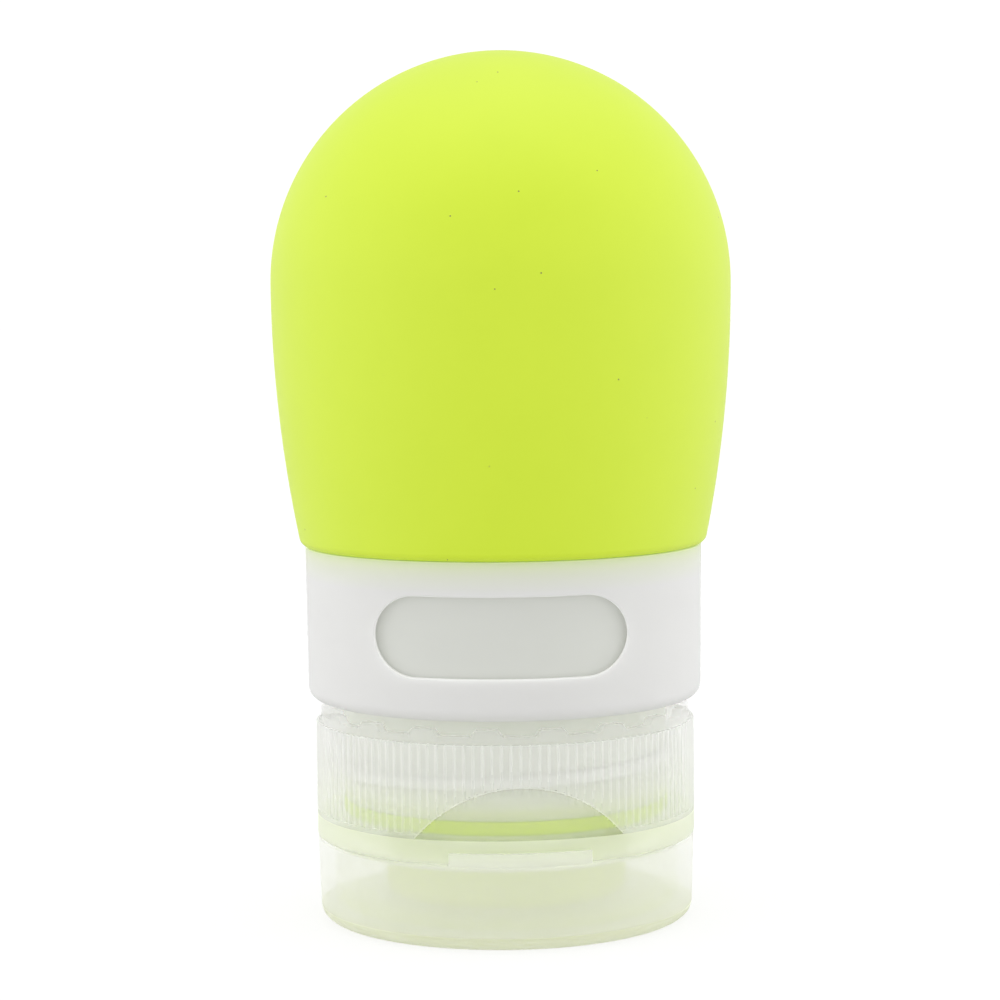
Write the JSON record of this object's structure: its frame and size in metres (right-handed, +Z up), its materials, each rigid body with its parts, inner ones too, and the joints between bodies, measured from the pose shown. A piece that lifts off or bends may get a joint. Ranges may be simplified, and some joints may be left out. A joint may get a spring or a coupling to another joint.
{
  "type": "travel squeeze bottle",
  "caption": "Soft silicone travel squeeze bottle standing on its flip lid, with a turning window collar, threaded neck ring, ribbed screw cap and slit valve.",
  "frame": {"origin": "middle of the lid's flat outer face, which the bottle stands on", "axes": "+Z up along the bottle's axis from the lid to the bulb, -Y out through the thumb dip, +Y towards the lid's hinge"},
  "size_m": [0.0419, 0.0418, 0.0791],
  "materials": {
    "soft_green": "matte silicone",
    "white_plastic": "satin",
    "dial_plastic": "matte",
    "frosted_plastic": "frosted translucent",
    "clear_silicone": "translucent silicone"
  },
  "bodies": {
    "lid": {"flip_lid": "frosted_plastic"},
    "cap": {"screw_cap": "frosted_plastic", "hinge_web": "frosted_plastic", "slit_valve": "clear_silicone"},
    "valve_ring": {"valve_retainer": "frosted_plastic"},
    "bottle": {"squeeze_body": "soft_green", "neck_ring": "frosted_plastic", "content_dial": "dial_plastic"},
    "collar": {"window_collar": "white_plastic"}
  },
  "joints": [
    {"name": "lid_flip", "type": "hinge", "parent": "lid", "child": "cap", "pos_m": [0, 0.01793, 0.00762], "axis": [-1, 0, 0], "range_deg": [0, 94]},
    {"name": "bottle_turn", "type": "hinge", "parent": "cap", "child": "valve_ring", "pos_m": [0, 0, 0], "axis": [0, 0, 1], "range_deg": [0, 648]},
    {"name": "bottle_rise", "type": "slide", "parent": "valve_ring", "child": "bottle", "axis": [0, 0, 1], "range_m": [0, 0.00541]},
    {"name": "collar_turn", "type": "hinge", "parent": "bottle", "child": "collar", "pos_m": [0, 0, 0], "axis": [0, 0, 1], "continuous": true}
  ],
  "couplings": [
    {"joint": "bottle_rise", "follows": "bottle_turn", "m_per_rad": 0.00047746}
  ]
}
